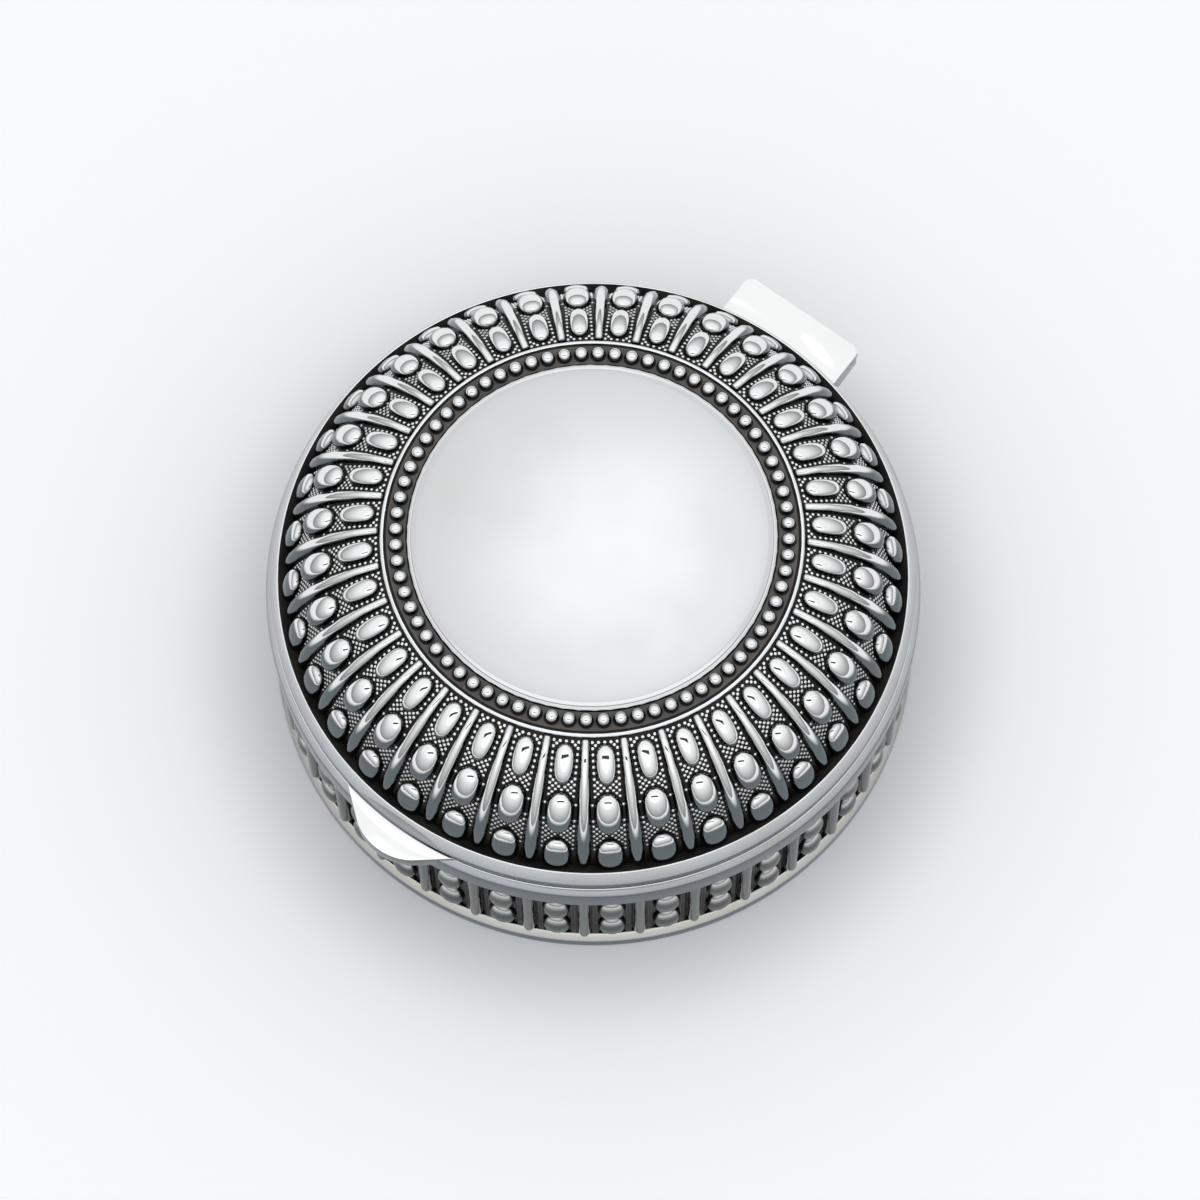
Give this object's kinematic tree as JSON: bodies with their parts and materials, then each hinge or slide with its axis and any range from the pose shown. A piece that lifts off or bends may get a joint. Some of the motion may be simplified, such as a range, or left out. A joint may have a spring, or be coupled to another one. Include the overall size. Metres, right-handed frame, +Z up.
{
  "type": "keepsake box",
  "caption": "Round silver-plated keepsake box with a hinged domed lid, embossed ribs and ovals, a beaded border round a polished disc, a thumb tab and a velvet lining.",
  "frame": {"origin": "on the box's axis, in the plane of its underside", "axes": "+Z up, -Y towards the thumb tab at the front, +Y towards the hinge"},
  "size_m": [0.1016, 0.1105, 0.0479],
  "materials": {
    "silver_polished": "mirror-polished silver plate",
    "silver_oxidised": "silver plate with an oxidised stippled ground and polished relief",
    "steel": "drawn steel wire",
    "velvet": "dark blue velvet",
    "card": "grey card",
    "felt": "black felt"
  },
  "bodies": {
    "base": {"base_ring": "silver_polished", "base_felt": "felt", "body_floor": "silver_polished", "body_wall": "silver_oxidised", "body_rim": "silver_polished", "wall_lining": "velvet", "floor_card": "card", "floor_pad": "velvet", "hinge_bracket": "silver_polished", "body_knuckles": "silver_polished", "hinge_pin": "steel"},
    "lid": {"lid_rim": "silver_polished", "lid_dome": "silver_oxidised", "lid_plate": "silver_polished", "lid_bead_ring": "silver_oxidised", "lid_card": "card", "lid_pad": "velvet", "thumb_tab": "silver_polished", "lid_hinge_plate": "silver_polished", "lid_knuckle": "silver_polished"}
  },
  "joints": [
    {"name": "lid_hinge", "type": "hinge", "parent": "base", "child": "lid", "pos_m": [0, 0.0544, 0.02558], "axis": [-1, 0, 0], "range_deg": [0, 100]}
  ]
}
